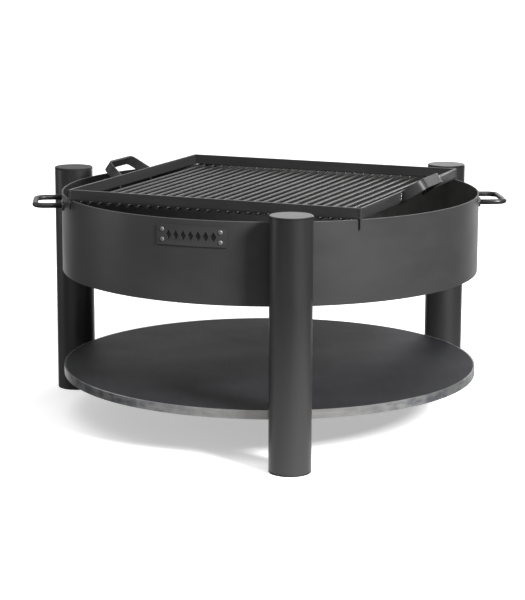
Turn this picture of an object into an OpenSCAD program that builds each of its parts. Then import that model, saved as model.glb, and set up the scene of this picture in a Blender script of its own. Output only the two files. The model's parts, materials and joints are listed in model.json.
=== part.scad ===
// Round steel fire pit on three tube legs, with a log shelf underneath and a square lift-off cooking grate.
// Millimetres, +Z up. The origin is on the ground, under the middle of the bowl.
// The front leg points along -Y, and the two bowl handles lie along X.

/* [Bowl] */
// Outer diameter of the bowl wall
bowl_d = 800; // [700:10:900]
// Thickness of the sheet that the bowl and the shelf are made of
sheet_t = 3; // [2:0.5:4]
// Height of the bowl wall
bowl_h = 150; // [120:5:170]
// Height of the bowl's rim above the ground
rim_z = 437; // [425:1:445]
// Height of the bowl floor's underside above the lower edge of the wall
floor_lift = 12; // [6:1:30]

/* [Legs] */
// Outer diameter of a leg tube
leg_d = 76; // [60:1:90]
// Wall thickness of a leg tube
leg_wall = 3; // [2:0.5:5]
// Height of a leg from the ground to the top of its cap
leg_h = 455; // [450:1:480]
// Thickness of the welded discs that close a leg at its top and foot
leg_disc_t = 4; // [3:0.5:8]
// Bevel around the edge of those discs
leg_disc_bevel = 1; // [0.5:0.25:1.5]

/* [Shelf] */
// Height of the shelf's top face above the ground
shelf_z = 100; // [80:1:150]
// Depth of the flat band around the shelf
shelf_band_h = 16; // [10:1:30]

/* [Bowl handles] */
// Diameter of the round bar
handle_bar_d = 10; // [8:1:14]
// Distance between the middles of a handle's two straight sides
handle_w = 106; // [80:1:130]
// Distance from the bowl wall to the middle of the grip
handle_reach = 50; // [40:1:70]
// Bend radius at the middle of the bar
handle_bend_r = 20; // [10:1:26]
// Distance from the rim down to the middle of the bar
handle_drop = 20; // [14:1:40]

/* [Name plate] */
// Width of the plate, measured around the wall
plate_w = 132; // [110:1:150]
// Height of the plate
plate_h = 36; // [30:1:50]
// Thickness of the plate
plate_t = 2; // [1:0.5:3]
// Direction of the plate's middle from the bowl's axis, anticlockwise from +X, in degrees
plate_angle = 245; // [238:1:250]
// Distance from the rim down to the middle of the plate
plate_drop = 29; // [25:1:50]
// Number of lozenges cut through the plate
lozenge_count = 7; // [3:2:9]
// Diameter of a rivet head
rivet_head_d = 8; // [6:0.5:9]
// Diameter of a rivet shank
rivet_shank_d = 4; // [3:0.5:5]

/* [Grate] */
// Gap between the bowl wall and a corner pin, which sets the size of the square frame
pin_gap = 1; // [0.5:0.5:3]
// Height of a frame bar
bar_h = 20; // [16:1:25]
// Thickness of a frame bar and of a grate handle
bar_t = 4; // [3:0.5:5]
// Diameter of a cooking rod
rod_d = 6; // [5:0.5:8]
// Number of cooking rods, evenly spaced between the two side bars
rod_count = 28; // [12:1:28]
// Angle by which the grate is turned on the bowl, in degrees
grate_turn = -26.7; // [-30:0.1:-20]
// Gap between the rim and the frame
grate_gap = 0.5; // [0.3:0.1:2]
// Diameter of a corner pin
pin_d = 4; // [3:0.5:4]
// Length of a corner pin below the frame, outside the bowl wall
pin_drop = 17; // [10:1:30]

/* [Grate handles] */
// Distance between the two ends of a handle where they meet the frame
grip_base_w = 132; // [110:1:150]
// Length of the grip
grip_w = 104; // [80:1:105]
// Distance from the frame to the grip, along the sloping handle
grip_reach = 41; // [30:1:50]
// Slope of a handle above the horizontal, in degrees
grip_tilt = 35; // [15:1:45]
// Outer bend radius of the flat bar
grip_bend_r = 16; // [6:1:18]

/* [Hidden] */
$fn = 120;
fine = 0.01;
black = [0.16, 0.16, 0.17];
black_inside = [0.11, 0.11, 0.12];
weld_grey = [0.22, 0.22, 0.23];
rod_grey = [0.38, 0.38, 0.38];
rivet_silver = [0.72, 0.72, 0.72];

bowl_r = bowl_d / 2;
wall_bottom_z = rim_z - bowl_h;
floor_z = wall_bottom_z + floor_lift;
floor_gap = 0.2;

leg_r = leg_d / 2;
leg_gap = 0.5;
leg_ring_r = bowl_r + leg_gap + leg_r;
front_leg_angle = 270;
right_leg_angle = 30;
left_leg_angle = 150;
leg_angles = [front_leg_angle, right_leg_angle, left_leg_angle];

// A weld bead between a leg and a round edge: its radius and its distance from the touching line
bead_r = 3.5;
bead_side = 10;
bowl_bead_count = 3;
bowl_bead_h = 36;
floor_bead = 5;

handle_z = rim_z - handle_drop;
handle_end_r = handle_bar_d / 2;
handle_bead_w = 3;
handle_bead_t = 5;

plate_z = rim_z - plate_drop;
rivet_x = plate_w / 2 - 11;
rivet_y = plate_h / 2 - 9;
rivet_head_h = 2.2;
rivet_tail_h = 1.5;
rivet_pin_r = 1.1;
rivet_pin_depth = 1.2;
rivet_slack = 0.1;
lozenge_pitch = (plate_w - 34) / lozenge_count;
lozenge_w = 0.78 * lozenge_pitch;
lozenge_h = plate_h / 2;

grate_z = rim_z + grate_gap;
pin_corner = (bowl_r + pin_gap + pin_d / 2) / sqrt(2);
grate_half = pin_corner + pin_d / 2;
grate_side = 2 * grate_half;
bar_len = grate_side - 2 * pin_d;
rod_pitch = (grate_side - bar_t) / (rod_count + 1);
rod_len = grate_side - 2;
grip_bead_r = 3;

function two_digits(i) = str(i < 10 ? "0" : "", i);
function rod_name(i) = str("grate_rod_", two_digits(i));
rod_names = [for (i = [1 : rod_count]) rod_name(i)];

// ---------- shared shapes ----------

// A ring of sheet standing on z = 0
module ring(outer_r, t, h) {
    difference() {
        cylinder(r = outer_r, h = h, $fn = 240);
        translate([0, 0, -1]) cylinder(r = outer_r - t, h = h + 2, $fn = 240);
    }
}

// Puts its children on a leg's axis
module at_leg(angle) {
    rotate(angle) translate([leg_ring_r, 0, 0]) children();
}

// Puts its children on the outer face of the bowl wall: X runs around the wall, Y up, and Z outwards
module on_wall(angle, z) {
    rotate(angle) translate([bowl_r, 0, z]) rotate([90, 0, 90]) children();
}

// ---------- bowl ----------

module rivet_holes() {
    around_wall_rivets()
        translate([0, 0, -2 * sheet_t])
            cylinder(d = rivet_shank_d + 2 * rivet_slack, h = 4 * sheet_t, $fn = 32);
}

// Puts its children at each of the plate's four rivets
module around_wall_rivets() {
    for (side = [-1, 1], level = [-1, 1])
        on_wall(plate_angle + side * rivet_x / bowl_r * 180 / PI, plate_z + level * rivet_y) children();
}

module bowl_wall() {
    color(black) difference() {
        translate([0, 0, wall_bottom_z]) ring(bowl_r, sheet_t, bowl_h);
        rivet_holes();
    }
}

module bowl_floor() {
    color(black_inside) translate([0, 0, floor_z])
        cylinder(r = bowl_r - sheet_t - floor_gap, h = sheet_t, $fn = 240);
}

// The bead that seals the floor to the wall, inside the bowl
module bowl_floor_weld() {
    inner_r = bowl_r - sheet_t - floor_gap;
    color(weld_grey) translate([0, 0, floor_z + sheet_t]) rotate_extrude($fn = 240)
        polygon([
            [inner_r, 0],
            [inner_r, floor_bead],
            for (a = [15 : 15 : 75])
                [inner_r - floor_bead * sin(a) * 0.85, floor_bead * cos(a) * 0.85],
            [inner_r - floor_bead, 0]
        ]);
}

// ---------- legs ----------

module leg_tube(angle) {
    color(black) at_leg(angle) translate([0, 0, leg_disc_t]) ring(leg_r, leg_wall, leg_h - 2 * leg_disc_t);
}

// A disc with a bevel around its upper edge
module leg_disc() {
    rotate_extrude()
        polygon([
            [0, 0],
            [leg_r, 0],
            [leg_r, leg_disc_t - leg_disc_bevel],
            [leg_r - leg_disc_bevel, leg_disc_t],
            [0, leg_disc_t]
        ]);
}

module leg_cap(angle) {
    color(black) at_leg(angle) translate([0, 0, leg_h - leg_disc_t]) leg_disc();
}

module leg_foot(angle) {
    color(black) at_leg(angle) translate([0, 0, leg_disc_t]) mirror([0, 0, 1]) leg_disc();
}

// Two beads in the narrow gaps on both sides of the line where a leg meets a round edge of the bowl's radius
module leg_beads(angle, z, h) {
    rotate(angle) translate([0, 0, z]) linear_extrude(h) difference() {
        for (side = [-1, 1]) translate([bowl_r, side * bead_side]) circle(r = bead_r, $fn = 32);
        circle(r = bowl_r + fine, $fn = 1440);
        translate([leg_ring_r, 0]) circle(r = leg_r + fine, $fn = 360);
    }
}

module bowl_leg_welds() {
    step = (bowl_h - bowl_bead_h) / bowl_bead_count;
    color(weld_grey) for (angle = leg_angles, i = [0 : bowl_bead_count - 1])
        leg_beads(angle, wall_bottom_z + (i + 0.5) * step, bowl_bead_h);
}

module shelf_leg_welds() {
    color(weld_grey) for (angle = leg_angles)
        leg_beads(angle, shelf_z - shelf_band_h + 1, shelf_band_h - 2);
}

// ---------- shelf ----------

module shelf_plate() {
    color(black) translate([0, 0, shelf_z - sheet_t])
        cylinder(r = bowl_r - sheet_t - floor_gap, h = sheet_t, $fn = 240);
}

module shelf_band() {
    color(black) translate([0, 0, shelf_z - shelf_band_h]) ring(bowl_r, sheet_t, shelf_band_h);
}

// ---------- bowl handles ----------

// A horizontal U of round bar whose two ends are cut to the curve of the wall
module bowl_handle(angle) {
    straight = handle_reach - handle_bend_r;
    root_x = bowl_r - 10;
    color(black) rotate(angle) translate([0, 0, handle_z]) difference() {
        union() {
            for (side = [-1, 1]) {
                translate([root_x, side * handle_w / 2, 0]) rotate([0, 90, 0])
                    cylinder(r = handle_end_r, h = straight + 10, $fn = 48);
                translate([bowl_r + straight, side * (handle_w / 2 - handle_bend_r), 0])
                    rotate(side > 0 ? 0 : -90) rotate_extrude(angle = 90, $fn = 96)
                        translate([handle_bend_r, 0]) circle(r = handle_end_r, $fn = 48);
            }
            translate([bowl_r + handle_reach, handle_bend_r - handle_w / 2, 0]) rotate([-90, 0, 0])
                cylinder(r = handle_end_r, h = handle_w - 2 * handle_bend_r, $fn = 48);
        }
        translate([0, 0, -handle_bar_d]) cylinder(r = bowl_r + fine, h = 2 * handle_bar_d, $fn = 240);
    }
}

// The bead around each end of the two handles
module bowl_handle_welds() {
    color(weld_grey) for (angle = [0, 180], side = [-1, 1])
        rotate(angle) translate([0, 0, handle_z]) difference() {
            translate([bowl_r - handle_bead_t, side * handle_w / 2, 0]) rotate([0, 90, 0])
                rotate_extrude($fn = 48)
                    polygon([
                        [handle_end_r + fine, 0],
                        [handle_end_r + handle_bead_w, 0],
                        [handle_end_r + handle_bead_w, handle_bead_t - 1],
                        [handle_end_r + 0.75 * handle_bead_w, handle_bead_t + 0.5],
                        [handle_end_r + 0.4 * handle_bead_w, handle_bead_t + 1.6],
                        [handle_end_r + fine, handle_bead_t + 2.2]
                    ]);
            translate([0, 0, -2 * handle_bar_d])
                cylinder(r = bowl_r + fine, h = 4 * handle_bar_d, $fn = 240);
        }
}

// ---------- name plate ----------

module lozenge() {
    polygon([[-lozenge_w / 2, 0], [0, -lozenge_h / 2], [lozenge_w / 2, 0], [0, lozenge_h / 2]]);
}

module name_plate() {
    span = plate_w / bowl_r * 180 / PI;
    color(black) difference() {
        rotate(plate_angle - span / 2) translate([0, 0, plate_z - plate_h / 2])
            rotate_extrude(angle = span, $fn = 720) translate([bowl_r + fine, 0]) square([plate_t, plate_h]);
        for (i = [0 : lozenge_count - 1]) {
            offset_x = (i - (lozenge_count - 1) / 2) * lozenge_pitch;
            on_wall(plate_angle + offset_x / bowl_r * 180 / PI, plate_z)
                translate([0, 0, -1]) linear_extrude(plate_t + 3)
                    lozenge();
        }
        rivet_holes();
    }
}

// Blind rivets: each domed head has a hole in its middle, where the pulled pin has broken off
module name_plate_rivets() {
    tail_z = -sheet_t - rivet_tail_h;
    head_z = plate_t + 0.1;
    shank_r = rivet_shank_d / 2;
    head_r = rivet_head_d / 2;
    pin_angle = acos(rivet_pin_r / head_r);
    pin_z = head_z + rivet_head_h * sin(pin_angle);
    color(rivet_silver) around_wall_rivets() rotate_extrude($fn = 32)
        polygon([
            [0, tail_z],
            [shank_r + 0.8, tail_z],
            [shank_r + 1, -sheet_t - 0.2],
            [shank_r, -sheet_t - 0.2],
            [shank_r, head_z],
            [head_r, head_z],
            for (a = [15 : 15 : 60])
                [head_r * cos(a), head_z + rivet_head_h * sin(a)],
            [rivet_pin_r, pin_z],
            [rivet_pin_r, pin_z - rivet_pin_depth],
            [0, pin_z - rivet_pin_depth]
        ]);
}

// ---------- grate ----------

// Puts its children in the grate's own axes: X along the front bar, Y along the rods,
// and Z up from the frame's underside
module on_grate() {
    translate([0, 0, grate_z]) rotate(grate_turn) children();
}

// One side of the frame, on the side that the angle points to
module grate_bar(angle) {
    color(black) on_grate() rotate(angle) translate([grate_half - bar_t, -bar_len / 2, 0])
        cube([bar_t, bar_len, bar_h]);
}

module grate_rod(i) {
    color(rod_grey) on_grate()
        translate([i * rod_pitch - grate_half + bar_t / 2, rod_len / 2, -rod_d / 2]) rotate([90, 0, 0])
            cylinder(d = rod_d, h = rod_len, $fn = 24);
}

// A corner pin stands in the corner between two bars and reaches down outside the bowl wall
module grate_pin(angle) {
    color(black) on_grate() rotate(angle) translate([pin_corner, pin_corner, -pin_drop])
        cylinder(d = pin_d, h = pin_drop + bar_h, $fn = 24);
}

// Points of an arc around a centre, from one angle to another
function arc(centre, r, from, to) =
    [for (i = [0 : 12]) centre + r * [cos(from + (to - from) * i / 12), sin(from + (to - from) * i / 12)]];

// A grip's slanted ends lean by grip_leg_lean, and its bends are centred on grip_bend_x and grip_bend_y
function grip_bend_x() = grip_reach - grip_bend_r;
function grip_leg_lean() = atan2((grip_base_w - grip_w) / 2, grip_reach);
function grip_bend_y() = grip_w / 2 - grip_bend_r * tan((90 - grip_leg_lean()) / 2);

// Half of a handle's outline, at a given inset from its outer face, from inside the frame to the grip
function grip_edge(inset) =
    let (lean = grip_leg_lean())
    let (root = [-1.25 * bar_h, grip_w / 2 + (grip_reach + 1.25 * bar_h) * tan(lean)])
    let (side = [cos(90 - lean), sin(90 - lean)])
    concat([root - inset * side], arc([grip_bend_x(), grip_bend_y()], grip_bend_r - inset, 90 - lean, 0));

function flip(points) = [for (i = [len(points) - 1 : -1 : 0]) [points[i][0], -points[i][1]]];
function reverse(points) = [for (i = [len(points) - 1 : -1 : 0]) points[i]];

// A flat bar on edge, bent to a wide U that slopes upwards and is cut flush where it meets the frame
module grip_shape(angle) {
    outer = concat(grip_edge(0), flip(grip_edge(0)));
    inner = concat(grip_edge(bar_t), flip(grip_edge(bar_t)));
    on_grate() rotate(angle) difference() {
        translate([grate_half, 0, bar_h]) rotate([0, -grip_tilt, 0]) translate([0, 0, -bar_h])
            linear_extrude(bar_h) polygon(concat(outer, reverse(inner)));
        translate([-grate_half, -grate_half, -bar_h]) cube([grate_side, grate_side, 4 * bar_h]);
    }
}

module grate_handle(angle) {
    color(black) grip_shape(angle);
}

// Beads along both faces of a grate handle, where its ends meet the frame
module grate_handle_welds() {
    lean = grip_leg_lean();
    color(weld_grey) for (angle = [0, 180], side = [-1, 1]) difference() {
        on_grate() rotate(angle) translate([grate_half, side * (grip_base_w / 2 - bar_t / 2), bar_h])
            rotate([0, -grip_tilt, 0]) translate([0, 0, 1 - bar_h]) linear_extrude(bar_h - 2)
                scale([1, 1.4]) circle(r = grip_bead_r + 0.6, $fn = 24);
        grip_shape(angle);
        on_grate() translate([-grate_half, -grate_half, -bar_h]) cube([grate_side, grate_side, 4 * bar_h]);
    }
}

bowl_wall();
bowl_floor();
bowl_floor_weld();
leg_tube(front_leg_angle);  // front_leg_tube
leg_tube(right_leg_angle);  // right_leg_tube
leg_tube(left_leg_angle);  // left_leg_tube
leg_cap(front_leg_angle);  // front_leg_cap
leg_cap(right_leg_angle);  // right_leg_cap
leg_cap(left_leg_angle);  // left_leg_cap
leg_foot(front_leg_angle);  // front_leg_foot
leg_foot(right_leg_angle);  // right_leg_foot
leg_foot(left_leg_angle);  // left_leg_foot
shelf_plate();
shelf_band();
bowl_leg_welds();
shelf_leg_welds();
bowl_handle(0);  // right_bowl_handle
bowl_handle(180);  // left_bowl_handle
bowl_handle_welds();
name_plate();
name_plate_rivets();
grate_bar(-90);  // grate_front_bar
grate_bar(90);  // grate_back_bar
grate_bar(0);  // grate_right_bar
grate_bar(180);  // grate_left_bar
grate_handle(0);  // grate_right_handle
grate_handle(180);  // grate_left_handle
grate_handle_welds();
grate_pin(-90);  // grate_pin_front
grate_pin(0);  // grate_pin_right
grate_pin(90);  // grate_pin_back
grate_pin(180);  // grate_pin_left
for (i = [1 : rod_count]) grate_rod(i);
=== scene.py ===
"""Looks of the round steel fire pit with its lift-off grate. Metres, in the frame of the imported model."""
import json
import math
import random

import bmesh
import bpy
from mathutils import Matrix, Vector


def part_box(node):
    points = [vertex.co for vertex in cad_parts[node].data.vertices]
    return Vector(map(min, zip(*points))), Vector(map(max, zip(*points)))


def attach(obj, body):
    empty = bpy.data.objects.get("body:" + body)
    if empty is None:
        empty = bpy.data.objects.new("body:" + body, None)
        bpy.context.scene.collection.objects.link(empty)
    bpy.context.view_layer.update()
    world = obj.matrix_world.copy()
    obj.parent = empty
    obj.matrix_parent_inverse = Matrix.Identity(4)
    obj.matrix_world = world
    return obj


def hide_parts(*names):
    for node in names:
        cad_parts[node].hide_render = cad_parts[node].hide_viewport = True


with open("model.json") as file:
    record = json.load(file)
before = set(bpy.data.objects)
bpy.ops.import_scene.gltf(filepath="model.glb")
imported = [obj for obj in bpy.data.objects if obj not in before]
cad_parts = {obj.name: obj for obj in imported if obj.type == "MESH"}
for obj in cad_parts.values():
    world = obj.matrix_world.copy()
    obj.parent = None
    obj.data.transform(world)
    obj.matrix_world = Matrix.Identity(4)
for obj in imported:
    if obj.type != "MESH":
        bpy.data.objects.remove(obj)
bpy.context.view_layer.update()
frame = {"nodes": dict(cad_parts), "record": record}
nodes = frame["nodes"]
scene = bpy.context.scene
MM = 0.001


# ---------- places that the frame gives ----------

def centre(node):
    low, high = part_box(node)
    return (low + high) / 2


wall_low, wall_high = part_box("bowl_wall")
BOWL_R = wall_high.x
WALL_BOTTOM_Z = wall_low.z
RIM_Z = wall_high.z
FLOOR_TOP_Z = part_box("bowl_floor")[1].z
SHELF_LOW, SHELF_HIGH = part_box("shelf_band")
LEG_CENTRES = [centre(name + "_leg_tube").xy for name in ("front", "right", "left")]
HANDLE_Z = centre("right_bowl_handle").z
bar_low, bar_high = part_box("grate_front_bar")
FRAME_BOTTOM_Z = bar_low.z
FRAME_TOP_Z = bar_high.z
BAR_H = FRAME_TOP_Z - FRAME_BOTTOM_Z
ROD_COUNT = sum(name.startswith("grate_rod_") for name in nodes)


# ---------- sizes ----------

SHEET = 3 * MM
# Radius of the rounded edges on the wall and on the grate handles
LIP = 0.7 * MM

# Bowl handle: width between the middles of its ends, reach from the wall, bend radius, and the bar's radius
HANDLE_W = 106 * MM
HANDLE_REACH = 50 * MM
HANDLE_BEND_R = 20 * MM
HANDLE_BAR_R = 5 * MM

# Grate: its four corner pins stand just outside the wall
GRATE_TURN = math.radians(-26.7)
BAR_T = 4 * MM
PIN_RING_R = BOWL_R + 3 * MM
GRATE_HALF = PIN_RING_R / math.sqrt(2) + BAR_T / 2

# Grate handle: width at the frame and at the grip, reach, bend radius, slope and slant of its ends
GRIP_BASE = 132 * MM
GRIP_W = 104 * MM
GRIP_REACH = 41 * MM
GRIP_BEND_R = 16 * MM
GRIP_TILT = math.radians(35)
GRIP_LEAN = math.atan2((GRIP_BASE - GRIP_W) / 2, GRIP_REACH)


def full_turn(steps):
    """Evenly spaced angles, all the way round."""
    return [i * math.tau / steps for i in range(steps)]


# ---------- camera ----------

CAMERA_AZIMUTH = math.radians(-4.75)
CAMERA_ELEVATION = math.radians(11.17)
CAMERA_DISTANCE = 3.894
CAMERA_ROLL = math.radians(0.2)
CAMERA_LENS = 120
CAMERA_FAR = 200
ORBIT_CENTRE = Vector((0, 0, 0.230))
AIM = Vector((-0.0143, -0.001, 0.2196))


def outward(azimuth, elevation):
    """A unit vector away from the pit. Azimuth 0 is in front, and a quarter turn is on the right."""
    return Vector((
        math.sin(azimuth) * math.cos(elevation),
        -math.cos(azimuth) * math.cos(elevation),
        math.sin(elevation),
    ))


def make_camera():
    camera = bpy.data.objects.new("camera", bpy.data.cameras.new("camera"))
    scene.collection.objects.link(camera)
    camera.data.lens = CAMERA_LENS
    camera.data.clip_end = CAMERA_FAR
    camera.location = ORBIT_CENTRE + outward(CAMERA_AZIMUTH, CAMERA_ELEVATION) * CAMERA_DISTANCE
    look = (AIM - camera.location).to_track_quat("-Z", "Y")
    camera.rotation_euler = (look.to_matrix() @ Matrix.Rotation(CAMERA_ROLL, 3, "Z")).to_euler()
    scene.camera = camera


# ---------- shader nodes ----------

NOISE_ROUGHNESS = 0.55


class Nodes:
    """Adds nodes to a tree. A value fed to a node is a constant or another node's output."""

    def __init__(self, tree):
        self.tree = tree

    def feed(self, socket, value):
        if isinstance(value, bpy.types.NodeSocket):
            self.tree.links.new(value, socket)
        else:
            socket.default_value = value

    def node(self, kind, **inputs):
        made = self.tree.nodes.new(kind)
        for key, value in inputs.items():
            self.feed(made.inputs[key.replace("_", " ")], value)
        return made

    def operate(self, kind, operation, a, b):
        made = self.tree.nodes.new(kind)
        made.operation = operation
        self.feed(made.inputs[0], a)
        self.feed(made.inputs[1], b)
        return made.outputs

    def plus(self, a, b):
        return self.operate("ShaderNodeMath", "ADD", a, b)["Value"]

    def times(self, a, b):
        return self.operate("ShaderNodeMath", "MULTIPLY", a, b)["Value"]

    def larger(self, a, b):
        return self.operate("ShaderNodeMath", "MAXIMUM", a, b)["Value"]

    def component(self, vector, letter):
        return self.node("ShaderNodeSeparateXYZ", Vector=vector).outputs[letter]

    def ramp(self, value, start, end, to_start=0.0, to_end=1.0):
        """Goes from to_start at start to to_end at end, and stays flat beyond both."""
        made = self.node("ShaderNodeMapRange", Value=value, From_Min=start, From_Max=end,
                         To_Min=to_start, To_Max=to_end)
        return made.outputs["Result"]


class Paint(Nodes):
    """A procedural material, built up from layers of tone, roughness and relief."""

    def __init__(self, name):
        self.name = name
        self.material = bpy.data.materials.new(name)
        self.material.use_nodes = True
        super().__init__(self.material.node_tree)
        self.shader = self.tree.nodes["Principled BSDF"]
        coordinates = self.node("ShaderNodeTexCoord")
        self.place = coordinates.outputs["Object"]
        self.facing = coordinates.outputs["Normal"]
        self.colour = None
        self.roughness = None
        self.normal = None

    def noise(self, features_per_metre, stretch=(1, 1, 1), detail=3.0):
        """Noise from 0 to 1. A stretch below 1 draws it out along that axis."""
        scaled = self.node("ShaderNodeMapping", Vector=self.place, Scale=stretch)
        made = self.node("ShaderNodeTexNoise", Vector=scaled.outputs["Vector"],
                         Scale=features_per_metre, Detail=detail, Roughness=NOISE_ROUGHNESS)
        return made.outputs["Fac"]

    def along(self, letter, start, end, to_start=0.0, to_end=1.0):
        """A ramp between two places on an axis."""
        return self.ramp(self.component(self.place, letter), start, end, to_start, to_end)

    def by_slope(self, start, end):
        """A ramp between two slopes, where 1 faces the sky and -1 faces the ground."""
        return self.ramp(self.component(self.facing, "Z"), start, end)

    def facing_axis(self):
        """1 where the surface faces the Z axis that the bowl is built around, 0 where it faces away."""
        radius = self.operate("ShaderNodeVectorMath", "MULTIPLY", self.place, (1, 1, 0))["Vector"]
        away = self.operate("ShaderNodeVectorMath", "DOT_PRODUCT", radius, self.facing)["Value"]
        return self.ramp(away, -0.05, -0.15)

    def tone(self, colour, mask=None):
        """Lays a colour over what is there, where the mask is 1. The first colour needs no mask."""
        if self.colour is None:
            self.colour = (*colour, 1)
            return
        mix = self.tree.nodes.new("ShaderNodeMix")
        mix.data_type = "RGBA"
        below, above = [socket for socket in mix.inputs if socket.type == "RGBA"]
        self.feed(mix.inputs["Factor"], mask)
        self.feed(below, self.colour)
        self.feed(above, (*colour, 1))
        self.colour = next(socket for socket in mix.outputs if socket.type == "RGBA")

    def rough(self, value, start, end, to_start, to_end):
        """Sets the roughness by a ramp, in place of what is there."""
        self.roughness = self.ramp(value, start, end, to_start, to_end)

    def rougher(self, value):
        """At least that rough."""
        self.roughness = self.larger(self.roughness, value)

    def relief(self, height, depth):
        """Bump of that depth in metres, on top of what is there."""
        bump = self.node("ShaderNodeBump", Height=height, Distance=depth)
        if self.normal is not None:
            self.feed(bump.inputs["Normal"], self.normal)
        self.normal = bump.outputs["Normal"]

    def uniform(self, **values):
        """Sets values on the shader's own sockets, the same all over."""
        for key, value in values.items():
            self.shader.inputs[key.replace("_", " ")].default_value = value

    def done(self):
        layers = {"Base Color": self.colour, "Roughness": self.roughness, "Normal": self.normal}
        for name, value in layers.items():
            if value is not None:
                self.feed(self.shader.inputs[name], value)
        return self.material


# ---------- light and floor ----------

WORLD_FRONT, WORLD_REAR, WORLD_TOP = 0.16, 1.35, 0.4
BACKDROP_TURN = math.radians(10)
FLOOR_GLOW = 0.435
FLOOR_R, FLOOR_SIDES = 60, 96
LIGHT_DISTANCE = 4.5


def add_light(name, kind, power):
    light = bpy.data.objects.new(name, bpy.data.lights.new(name, kind))
    scene.collection.objects.link(light)
    light.data.energy = power
    return light


def soft_box(name, size, power):
    light = add_light(name, "AREA", power)
    light.data.shape = "RECTANGLE"
    light.data.size, light.data.size_y = size
    return light


def aimed_box(name, azimuth, elevation, size, power):
    """A soft box that shines on the pit, from that direction in degrees."""
    light = soft_box(name, size, power)
    out = outward(math.radians(azimuth), math.radians(elevation))
    light.location = ORBIT_CENTRE + out * LIGHT_DISTANCE
    light.rotation_euler = (-out).to_track_quat("-Z", "Y").to_euler()


def make_lights():
    aimed_box("key_light", azimuth=36, elevation=30, size=(1.1, 1.0), power=400)
    aimed_box("left_light", azimuth=-97, elevation=8, size=(1.6, 1.6), power=34)
    aimed_box("right_rear_light", azimuth=151, elevation=8, size=(1.1, 1.6), power=35)

    overhead = add_light("overhead", "SUN", 1.3)
    overhead.data.angle = math.radians(50)
    overhead.rotation_euler = (math.radians(25), 0, 0)

    bounce = soft_box("floor_bounce", (2.4, 0.72), 4.6)
    bounce.location = (0, -0.68, 3 * MM)
    bounce.rotation_euler = (math.pi, 0, 0)
    bounce.visible_camera = False


def make_world():
    """Dim in front and below, brighter overhead, and brightest behind, as a lit backdrop is."""
    world = bpy.data.worlds.new("studio")
    scene.world = world
    world.use_nodes = True
    sky = Nodes(world.node_tree)
    direction = sky.node("ShaderNodeTexCoord").outputs["Generated"]
    turn = sky.node("ShaderNodeVectorRotate", Vector=direction, Angle=BACKDROP_TURN)
    turn.rotation_type = "Z_AXIS"
    behind = sky.component(turn.outputs["Vector"], "Y")
    height = sky.component(turn.outputs["Vector"], "Z")
    above_ground = sky.ramp(height, -0.6, 0.05, 0.3, 1.0)
    backdrop = sky.times(sky.ramp(behind, 0.69, 0.88, WORLD_FRONT, WORLD_REAR), above_ground)
    light = sky.plus(backdrop, sky.ramp(height, 0.2, 1.0, 0.0, WORLD_TOP))
    sky.feed(sky.tree.nodes["Background"].inputs["Color"], light)
    scene.view_settings.view_transform = "Standard"


def make_floor():
    """A wide pale disc that glows a little, as a light table does, so that the shadow on it stays pale."""
    rim = [(FLOOR_R * math.cos(a), FLOOR_R * math.sin(a), 0) for a in full_turn(FLOOR_SIDES)]
    mesh = bpy.data.meshes.new("studio_floor")
    mesh.from_pydata(rim, [], [tuple(range(FLOOR_SIDES))])
    floor = bpy.data.objects.new("studio_floor", mesh)
    scene.collection.objects.link(floor)
    white = Paint("floor_white")
    white.uniform(Base_Color=(0.9, 0.9, 0.9, 1), Roughness=0.9, Specular_IOR_Level=0.0,
                  Emission_Color=(1, 1, 1, 1), Emission_Strength=FLOOR_GLOW)
    mesh.materials.append(white.done())
    floor.visible_glossy = False
    floor.visible_diffuse = False


# ---------- colours and paints ----------

def grey(level, blue=0.0):
    """A grey, with a little more blue if asked."""
    return (level, level, level + blue)


def shade(colour, factor):
    return [channel * factor for channel in colour]


BASE = grey(0.026, 0.001)
LIGHT = grey(0.042, 0.001)
# Pale grey for worn paint, also laid on edges and tops as a painted highlight
WORN_AND_HIGHLIGHT = grey(0.1)
# Near black for soot, also laid on as painted shade and painted shadow
SOOT_AND_SHADE = grey(0.008)
EVEN = (1, 1, 1)

STREAKS_PER_METRE = 14
CLOUDS_PER_METRE = 5
GRAINS_PER_METRE = 900
RUB_AND_HIGHLIGHT_PATCHES_PER_METRE = 160


def heat_paint(name, base, light, roughness, stretch, peel=0.03 * MM, streak_depth=0.04 * MM):
    """Black heat-resistant paint on rolled steel: faint streaks of the steel, cloudy tone, fine grain."""
    paint = Paint(name)
    streaks = paint.noise(STREAKS_PER_METRE, stretch, detail=4)
    clouds = paint.noise(CLOUDS_PER_METRE, detail=2)
    grain = paint.noise(GRAINS_PER_METRE, detail=2)
    paint.tone(base)
    paint.tone(light, paint.ramp(streaks, 0.35, 0.75, 0, 0.6))
    paint.tone(shade(base, 0.7), paint.ramp(clouds, 0.5, 0.8, 0, 0.5))
    paint.rough(clouds, 0.3, 0.7, roughness - 0.04, roughness + 0.05)
    paint.relief(streaks, streak_depth)
    paint.relief(grain, peel)
    return paint


def rub_and_highlight(paint, mask, colour):
    """Lays a colour thinly over what is there, where the mask is 1, broken up by noise. It stands for wear
    and for a painted highlight.
    """
    patches = paint.ramp(paint.noise(RUB_AND_HIGHLIGHT_PATCHES_PER_METRE, detail=4), 0.35, 0.65, 0.3, 1)
    paint.tone(colour, paint.times(paint.times(mask, patches), 0.7))


def behind_plate(paint):
    """1 on the part of the wall that shows through the plate's cut-outs, which stays in shadow."""
    low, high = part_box("name_plate")
    edge, fade = 4 * MM, 1 * MM
    mask = paint.along("Y", 0, -1 * MM)
    for letter, start, end in (("X", low.x + edge, high.x - edge), ("Z", low.z + edge, high.z - edge)):
        mask = paint.times(mask, paint.along(letter, start, start + fade))
        mask = paint.times(mask, paint.along(letter, end, end - fade))
    return mask


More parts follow.
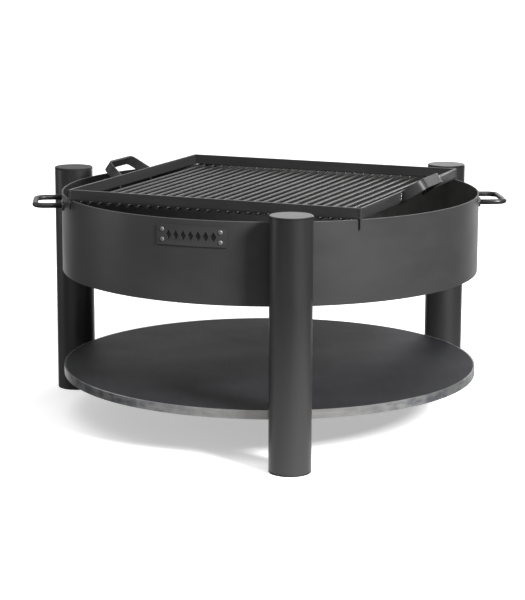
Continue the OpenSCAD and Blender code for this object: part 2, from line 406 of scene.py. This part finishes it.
def bowl_paint():
    """Ash on the inside, painted shade on the left of it, worn along the rim with a painted highlight line,
    and painted shadow behind the plate.
    """
    paint = heat_paint("bowl_paint", BASE, LIGHT, 0.37, (0.5, 0.5, 1.2), streak_depth=0.004 * MM)
    inside = paint.facing_axis()
    ash = paint.ramp(paint.noise(25, detail=4), 0.3, 0.7, 0.5, 1)
    paint.tone((0.085, 0.084, 0.081), paint.times(inside, ash))
    # Painted shade: the inner wall and floor on the left are painted near black
    paint.tone(grey(0.005), paint.times(inside, paint.along("X", 0.2, -0.1)))
    paint.rougher(paint.along("Z", RIM_Z - 1.3 * MM, RIM_Z - 0.4 * MM, 0, 0.8))
    # Worn paint along the rim, which also paints the rim's highlight line
    rub_and_highlight(paint, paint.along("Z", RIM_Z - 0.8 * MM, RIM_Z - 0.2 * MM), WORN_AND_HIGHLIGHT)
    # Painted shadow: the wall behind the plate's cut-outs is painted near black
    paint.tone(SOOT_AND_SHADE, behind_plate(paint))
    return paint


def bowl_floor_paint():
    """Dull and faintly brown, as scorched paint is."""
    scorched, ashy = (0.018, 0.0175, 0.017), (0.035, 0.034, 0.033)
    return heat_paint("bowl_floor_paint", scorched, ashy, 0.75, EVEN, peel=0.1 * MM)


def leg_paint():
    """Streaks run up the tube, and painted light makes it paler towards the foot."""
    paint = heat_paint("leg_paint", shade(BASE, 0.45), shade(LIGHT, 0.45), 0.38, (6, 6, 0.35))
    # Painted light: paler towards the foot, for light coming up off the floor
    paint.tone(shade(LIGHT, 0.8), paint.along("Z", 0.3, 0.0, 0, 0.9))
    return paint


def cap_paint():
    """Pale all over, as painted light on the top; darker and duller on the left rear leg, as painted shade;
    and painted shade in near black on the bevel and the side of the disc.
    """
    # Painted light: the cap is painted much paler than the tube's paint
    paint = heat_paint("cap_paint", grey(0.06, 0.001), grey(0.09), 0.42, (1.5, 6, 1))
    # Painted shade: the left rear cap is painted darker, and it is rougher too
    dull_and_shaded = paint.along("X", -0.2, -0.35)
    paint.tone(grey(0.03), paint.times(dull_and_shaded, paint.ramp(paint.noise(60), 0.35, 0.6, 0.5, 1)))
    paint.rough(dull_and_shaded, 0, 1, 0.42, 0.75)
    # Painted shade: near black on the bevel and the side of the disc
    paint.tone(SOOT_AND_SHADE, paint.by_slope(0.9, 0.5))
    paint.uniform(Specular_IOR_Level=0.38)
    return paint


def shelf_paint():
    # Painted shade: the shelf's top is painted near black and given little shine, as if in shade
    paint = heat_paint("shelf_paint", grey(0.011, 0.0025), grey(0.019, 0.003), 0.65, (6, 1, 1))
    paint.uniform(Specular_IOR_Level=0.18)
    return paint


def shelf_band_paint():
    """Pale brushed steel, whose paleness is a painted reflection of the bright floor, with bluish patches
    towards both sides as painted shade.
    """
    # Painted reflection: a pale base colour for the floor's reflection
    paint = heat_paint("shelf_band_paint", (0.225, 0.222, 0.217), (0.32, 0.315, 0.305), 0.3, (0.6, 0.6, 22))
    patches = paint.ramp(paint.noise(45, (1, 1, 2), detail=5), 0.42, 0.6, 0.25, 0.9)
    # Painted shade: darker bluish patches towards both sides
    sides = paint.larger(paint.along("X", -0.05, -0.3), paint.along("X", 0.03, 0.25))
    paint.tone((0.085, 0.091, 0.103), paint.times(sides, patches))
    paint.uniform(Metallic=0.5)
    return paint


def handle_paint():
    """The left handle is duller than the right one."""
    paint = heat_paint("handle_paint", grey(0.012), grey(0.022), 0.3, (1, 6, 6))
    paint.rougher(paint.along("X", 0.0, -0.1, 0, 0.5))
    return paint


def grate_bar_paint():
    """Sooty with painted shade on the faces that look at the fire, most on the left, and along the lower
    edge. Worn on top, which also paints a highlight along the top edge.
    """
    paint = heat_paint("grate_bar_paint", grey(0.021, 0.0005), grey(0.034, 0.0005), 0.42, (1, 1, 6))
    paint.uniform(Specular_IOR_Level=0.38)
    # Soot with painted shade: the inner faces are darkened, most on the left, and the lower edge too
    fire_side_soot_and_shade = paint.times(paint.facing_axis(), paint.along("X", 0.0, -0.15, 0.2, 0.9))
    soot_and_shade_mask = paint.larger(fire_side_soot_and_shade, paint.along("Z", FRAME_BOTTOM_Z + 4 * MM, FRAME_BOTTOM_Z + 2 * MM))
    paint.tone(SOOT_AND_SHADE, soot_and_shade_mask)
    paint.rougher(paint.times(soot_and_shade_mask, 1.1))
    # Worn top edge, also a painted highlight
    rub_and_highlight(paint, paint.along("Z", FRAME_TOP_Z - 0.9 * MM, FRAME_TOP_Z - 0.2 * MM), WORN_AND_HIGHLIGHT)
    return paint


def grate_handle_paint():
    paint = heat_paint("grate_handle_paint", grey(0.018, 0.001), grey(0.03, 0.001), 0.48, (1, 1, 6))
    paint.uniform(Specular_IOR_Level=0.32)
    return paint


def grate_rod_paint():
    """Rubbed by food and brushes along the top, which also paints a highlight there, and sooty with painted
    shade underneath.
    """
    paint = heat_paint("grate_rod_paint", grey(0.01), grey(0.02), 0.33, (2, 2, 2))
    # Worn along the top, also a painted highlight
    rub_and_highlight(paint, paint.by_slope(0.75, 1.0), grey(0.07))
    paint.uniform(Specular_IOR_Level=0.36)
    # Soot with painted shade on the underside
    underside_soot_and_shade = paint.by_slope(0.35, -0.1)
    paint.tone(SOOT_AND_SHADE, underside_soot_and_shade)
    paint.rougher(paint.times(underside_soot_and_shade, 0.95))
    return paint


def weld_bead_paint():
    """Shinier than the rest, as paint is on a rippled bead."""
    paint = heat_paint("weld_bead", grey(0.022), grey(0.05), 0.26, EVEN, peel=0.08 * MM)
    paint.uniform(Coat_Weight=0.7, Coat_Roughness=0.14)
    return paint


def rivet_paint():
    """Bare dull metal."""
    paint = heat_paint("rivet_metal", grey(0.15), grey(0.24), 0.52, (8, 8, 8), peel=0.02 * MM)
    paint.uniform(Metallic=0.5)
    return paint


def make_materials():
    """One material for each slot of the record."""
    paints = [
        bowl_paint(),
        bowl_floor_paint(),
        leg_paint(),
        heat_paint("foot_paint", BASE, LIGHT, 0.5, EVEN),
        cap_paint(),
        shelf_paint(),
        shelf_band_paint(),
        handle_paint(),
        heat_paint("plate_paint", BASE, LIGHT, 0.42, (0.4, 0.4, 7)),
        grate_bar_paint(),
        grate_handle_paint(),
        heat_paint("grate_pin_paint", BASE, LIGHT, 0.4, EVEN),
        grate_rod_paint(),
        weld_bead_paint(),
        rivet_paint(),
    ]
    return {paint.name: paint.done() for paint in paints}


# ---------- CAD nodes ----------

FRAME_BARS = ["grate_" + side + "_bar" for side in ("front", "back", "right", "left")]
BAR_EDGE = 0.6 * MM


def round_edges(node):
    """Rounds the edges of a flat bar, so that they catch the light."""
    weld = node.modifiers.new("weld", "WELD")
    weld.merge_threshold = 0.005 * MM
    bevel = node.modifiers.new("bevel", "BEVEL")
    bevel.width = BAR_EDGE
    bevel.segments = 3
    bevel.limit_method = "ANGLE"
    bevel.angle_limit = math.radians(35)
    bevel.harden_normals = True


def dress_nodes():
    """Gives each CAD node its slot's material."""
    slots = {part["node"]: part["material_slot"] for part in frame["record"]["subparts"]}
    for name, node in nodes.items():
        node.data.materials.clear()
        node.data.materials.append(materials[slots[name]])
        if name in FRAME_BARS:
            round_edges(node)


# ---------- pieces made here ----------

def new_piece(name, vertices, faces, body, slot, stands_for=()):
    """A smooth mesh that rides on a body. It may stand for CAD nodes."""
    mesh = bpy.data.meshes.new(name)
    mesh.from_pydata(vertices, [], faces)
    mesh.polygons.foreach_set("use_smooth", [True] * len(faces))
    shape = bmesh.new()
    shape.from_mesh(mesh)
    bmesh.ops.recalc_face_normals(shape, faces=shape.faces)
    shape.to_mesh(mesh)
    shape.free()
    mesh.materials.append(materials[slot])
    mesh.update()
    piece = bpy.data.objects.new(name, mesh)
    scene.collection.objects.link(piece)
    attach(piece, body)
    if stands_for:
        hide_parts(*stands_for)


def skin(first, ring_count, size, closed=False):
    """Faces between neighbouring rings of points. A closed skin joins up, and an open one gets two lids."""
    faces = []
    for i in range(ring_count if closed else ring_count - 1):
        here, there = first + i * size, first + (i + 1) % ring_count * size
        faces += [(here + k, here + (k + 1) % size, there + (k + 1) % size, there + k) for k in range(size)]
    if not closed:
        last = first + (ring_count - 1) * size
        faces += [tuple(range(first, first + size)), tuple(range(last, last + size))]
    return faces


def rounded_strip(outer, thickness, low, high):
    """Section of a flat strip with rounded lips. A point next to each lip keeps the tall sides flat."""
    inner, guard = outer - thickness, 1.6 * LIP
    corners = (
        (outer - LIP, low + LIP, -90), (outer - LIP, high - LIP, 0),
        (inner + LIP, high - LIP, 90), (inner + LIP, low + LIP, 180),
    )
    outline = []
    for x, z, start in corners:
        if start == 0:
            outline += [(outer, low + guard), (outer, high - guard)]
        if start == 180:
            outline += [(inner, high - guard), (inner, low + guard)]
        angles = [math.radians(start + step * 22.5) for step in range(5)]
        outline += [(x + LIP * math.cos(a), z + LIP * math.sin(a)) for a in angles]
    return outline


def make_bowl_ring():
    """The wall as a smooth ring: its section, turned about Z."""
    sides = 360
    section = rounded_strip(BOWL_R, SHEET, WALL_BOTTOM_Z, RIM_Z)
    vertices = [(r * math.cos(a), r * math.sin(a), z) for a in full_turn(sides) for r, z in section]
    faces = skin(0, sides, len(section), closed=True)
    new_piece("bowl_ring", vertices, faces, "fire_pit", "bowl_paint", ("bowl_wall",))


# ---------- weld beads ----------

BEAD_SIDES = 10
BEAD_PITCH = 2.6 * MM
RINGS_PER_PITCH = 4
FEWEST_STEPS = 8
# Share of a bead's length, to both sides of a point, over which its direction is measured
LOOK_AHEAD = 0.002


def square_to(way):
    """Two unit vectors at right angles to a way and to each other."""
    along = way.normalized()
    steep = abs(along.z) > 0.9
    side = along.orthogonal() if steep else along.cross(Vector((0, 0, 1)))
    side.normalize()
    return side, side.cross(along)


class Beads:
    """Weld beads that make up one piece. Each is a row of overlapping lumps."""

    def __init__(self, chance):
        self.chance = chance
        self.vertices = []
        self.faces = []

    def add(self, point_at, length, radius, closed=False):
        """A bead along point_at(0 to 1), tapered at both ends unless it closes."""
        steps = max(FEWEST_STEPS, round(length / BEAD_PITCH) * RINGS_PER_PITCH)
        ring_count = steps if closed else steps + 1
        lumps = [self.chance.uniform(0.86, 1.14) for _ in range(steps // RINGS_PER_PITCH + 2)]
        self.faces += skin(len(self.vertices), ring_count, BEAD_SIDES, closed)
        for i in range(ring_count):
            t = i / steps
            here = point_at(t)
            side, up = square_to(point_at(t + LOOK_AHEAD) - point_at(t - LOOK_AHEAD))
            # Each lump swells by a fifth in its middle
            phase = i / RINGS_PER_PITCH
            ripple = 0.80 + 0.20 * abs(math.sin(math.pi * phase))
            size = radius * ripple * lumps[int(phase) % len(lumps)]
            if not closed:
                # The end shrinks over a little more than the bead's radius
                size *= max(0.12, min(1, min(t, 1 - t) * length / (1.1 * radius))) ** 0.5
            self.vertices += [here + side * (size * math.cos(a)) + up * (size * math.sin(a))
                              for a in full_turn(BEAD_SIDES)]

    def add_line(self, start, end, radius):
        self.add(lambda t: start.lerp(end, t), (end - start).length, radius)

    def done(self, name, body, stands_for=(), slot="weld_bead"):
        new_piece(name, self.vertices, self.faces, body, slot, stands_for)


def make_leg_beads():
    """Vertical beads in the narrow gaps on both sides of where a leg touches the bowl and the shelf."""
    chance = random.Random(4)
    side_way, out_way, radius = 10.8 * MM, 1.0 * MM, 3.1 * MM
    wall_bead_count, wall_bead_h, shelf_end = 3, 36 * MM, 1 * MM
    wall_step = (RIM_Z - WALL_BOTTOM_Z - wall_bead_h) / wall_bead_count
    wall_starts = [WALL_BOTTOM_Z + (i + 0.5) * wall_step for i in range(wall_bead_count)]
    shelf_bead_h = SHELF_HIGH.z - SHELF_LOW.z - 2 * shelf_end
    for name, node, starts, height in (
        ("bowl_leg_beads", "bowl_leg_welds", wall_starts, wall_bead_h),
        ("shelf_leg_beads", "shelf_leg_welds", [SHELF_LOW.z + shelf_end], shelf_bead_h),
    ):
        beads = Beads(chance)
        for leg in LEG_CENTRES:
            out = Vector((leg.x, leg.y, 0)).normalized()
            sideways = Vector((-out.y, out.x, 0))
            for side in (-1, 1):
                foot = out * (BOWL_R + out_way) + sideways * (side * side_way)
                for z in starts:
                    beads.add_line(foot + Vector((0, 0, z)), foot + Vector((0, 0, z + height)), radius)
        beads.done(name, "fire_pit", (node,))


def make_floor_bead():
    """The bead that seals the bowl's floor to the wall, all the way round."""
    ring_r = BOWL_R - SHEET - 1.6 * MM
    z = FLOOR_TOP_Z + 1.2 * MM

    def around(t):
        return Vector((ring_r * math.cos(t * math.tau), ring_r * math.sin(t * math.tau), z))

    beads = Beads(random.Random(5))
    beads.add(around, math.tau * ring_r, 3.4 * MM, closed=True)
    beads.done("bowl_floor_bead", "fire_pit", ("bowl_floor_weld",))


def make_handle_beads():
    """A lumpy ring around each end of the bowl handles, lying on the curved wall."""
    beads = Beads(random.Random(6))
    ring_r, radius, off_wall = 6.8 * MM, 3.1 * MM, 0.8 * MM
    for way in (-1, 1):
        for side in (-1, 1):
            def around(t, way=way, side=side):
                a = t * math.tau
                y = side * HANDLE_W / 2 + ring_r * math.cos(a)
                x = way * (math.sqrt(BOWL_R ** 2 - y ** 2) + off_wall)
                return Vector((x, y, HANDLE_Z + ring_r * math.sin(a)))

            beads.add(around, math.tau * ring_r, radius, closed=True)
    beads.done("bowl_handle_beads", "fire_pit", ("bowl_handle_welds",))


def on_grate(x, y, z):
    """A point given in the grate's own axes, with z from the ground."""
    cos, sin = math.cos(GRATE_TURN), math.sin(GRATE_TURN)
    return Vector((x * cos - y * sin, x * sin + y * cos, z))


def make_grate_beads():
    """Beads on both faces of a grate handle's ends, down the outside of the frame."""
    beads = Beads(random.Random(7))
    off_handle, off_frame, radius = 0.7 * MM, 0.5 * MM, 2.5 * MM
    top_y = GRIP_BASE / 2
    foot_y = top_y + BAR_H * math.tan(GRIP_TILT) * math.tan(GRIP_LEAN)
    handle_width = BAR_T / math.cos(GRIP_LEAN)
    for way in (-1, 1):
        x = way * (GRATE_HALF + off_frame)
        for side in (-1, 1):
            for shift in (off_handle, -handle_width - off_handle):
                start = on_grate(x, side * (top_y + shift), FRAME_TOP_Z - 1.2 * MM)
                end = on_grate(x, side * (foot_y + shift), FRAME_BOTTOM_Z + 1.5 * MM)
                beads.add_line(start, end, radius)
    beads.done("grate_handle_beads", "grate", ("grate_handle_welds",))


def make_rod_spots():
    """A short bead on each end of each rod, where it meets the inside of the front or back bar."""
    chance = random.Random(8)
    beads = Beads(chance)
    radius = 1.1 * MM
    pitch = (2 * GRATE_HALF - BAR_T) / (ROD_COUNT + 1)
    y = GRATE_HALF - BAR_T - 0.6 * MM
    z = FRAME_BOTTOM_Z + 1.8 * MM
    for i in range(1, ROD_COUNT + 1):
        x = i * pitch - GRATE_HALF + BAR_T / 2
        half = chance.uniform(2.4, 3.4) * MM
        for side in (-1, 1):
            beads.add_line(on_grate(x - half, side * y, z), on_grate(x + half, side * y, z), radius)
    beads.done("grate_rod_spots", "grate", slot="grate_bar_paint")


def make_pin_seams():
    """Thin seams on both sides of each corner pin, where it is welded into the corner of the frame."""
    beads = Beads(random.Random(9))
    edge, seam, radius = GRATE_HALF - 0.1 * MM, GRATE_HALF - 4.4 * MM, 0.9 * MM
    for x_way in (-1, 1):
        for y_way in (-1, 1):
            for x, y in ((seam, edge), (edge, seam)):
                start = on_grate(x_way * x, y_way * y, FRAME_BOTTOM_Z + 1 * MM)
                end = on_grate(x_way * x, y_way * y, FRAME_TOP_Z - 1 * MM)
                beads.add_line(start, end, radius)
    beads.done("grate_pin_seams", "grate")


# ---------- handles ----------

def make_bowl_handle(name, way):
    """A round bar bent to a U, whose ends stop inside the bowl's curved sheet."""
    sides, bend_steps = 32, 14
    sheet_middle_r = BOWL_R - SHEET / 2
    bend_x, bend_y = BOWL_R + HANDLE_REACH - HANDLE_BEND_R, HANDLE_W / 2 - HANDLE_BEND_R
    angles = [i * math.pi / 2 / bend_steps for i in range(bend_steps + 1)]
    bend = [(bend_x + HANDLE_BEND_R * math.cos(a), bend_y + HANDLE_BEND_R * math.sin(a), a) for a in angles]
    root = (0, HANDLE_W / 2, math.pi / 2)
    half = [*bend, root]
    path = [(x, -y, -a) for x, y, a in half[::-1]] + half
    vertices = []
    for x, y, a in path:
        for b in full_turn(sides):
            off = HANDLE_BAR_R * math.cos(b)
            point_x, point_y = x + off * math.cos(a), y + off * math.sin(a)
            if x == 0:
                # A root, which ends in the middle of the curved sheet
                point_x = math.sqrt(sheet_middle_r ** 2 - point_y ** 2)
            vertices.append((way * point_x, way * point_y, HANDLE_Z + HANDLE_BAR_R * math.sin(b)))
    new_piece(name + "_bent", vertices, skin(0, len(path), sides), "fire_pit", "handle_paint", (name,))


def make_grate_handle(name, way):
    """A flat bar on edge, bent to a wide U that slopes upwards, with rounded edges and smooth bends."""
    bend_steps, guard = 16, 1.5 * MM
    turn = math.pi / 2 - GRIP_LEAN
    bend_x, bend_y = GRIP_REACH - GRIP_BEND_R, GRIP_W / 2 - GRIP_BEND_R * math.tan(turn / 2)
    section = rounded_strip(0, BAR_T, -BAR_H, 0)
    cos_tilt, sin_tilt = math.cos(GRIP_TILT), math.sin(GRIP_TILT)
    cos_lean, sin_lean = math.cos(GRIP_LEAN), math.sin(GRIP_LEAN)

    def place(u, v, w):
        """u goes up the slope, v along the frame, and w away from the sloping handle."""
        x = way * (GRATE_HALF + u * cos_tilt - w * sin_tilt)
        return on_grate(x, way * v, FRAME_TOP_Z + u * sin_tilt + w * cos_tilt)

    def leg(side, step=None):
        """A section of a slanted end: that far beyond the bend or, with no step, inside the frame bar."""
        ring = []
        for inset, w in section:
            u = bend_x + (GRIP_BEND_R + inset) * sin_lean
            v = bend_y + (GRIP_BEND_R + inset) * cos_lean
            root_u = (-BAR_T / 2 + w * sin_tilt) / cos_tilt
            far = (u - root_u) / cos_lean if step is None else step
            ring.append(place(u - far * cos_lean, side * (v + far * sin_lean), w))
        return ring

    def bend(side, angle):
        ring = []
        for inset, w in section:
            r = GRIP_BEND_R + inset
            ring.append(place(bend_x + r * math.cos(angle), side * (bend_y + r * math.sin(angle)), w))
        return ring

    def grip(side):
        return [place(GRIP_REACH + inset, side * (bend_y - guard), w) for inset, w in section]

    def half(side):
        bends = [bend(side, turn * (1 - i / bend_steps)) for i in range(bend_steps + 1)]
        return [leg(side), leg(side, guard), *bends, grip(side)]

    rings = half(-1) + half(1)[::-1]
    vertices = [point for ring in rings for point in ring]
    faces = skin(0, len(rings), len(section))
    new_piece(name + "_bent", vertices, faces, "grate", "grate_handle_paint", (name,))


make_camera()
make_lights()
make_world()
make_floor()
materials = make_materials()
dress_nodes()
make_bowl_ring()
make_leg_beads()
make_floor_bead()
make_handle_beads()
for side, way in (("right", 1), ("left", -1)):
    make_bowl_handle(side + "_bowl_handle", way)
    make_grate_handle("grate_" + side + "_handle", way)
make_grate_beads()
make_rod_spots()
make_pin_seams()
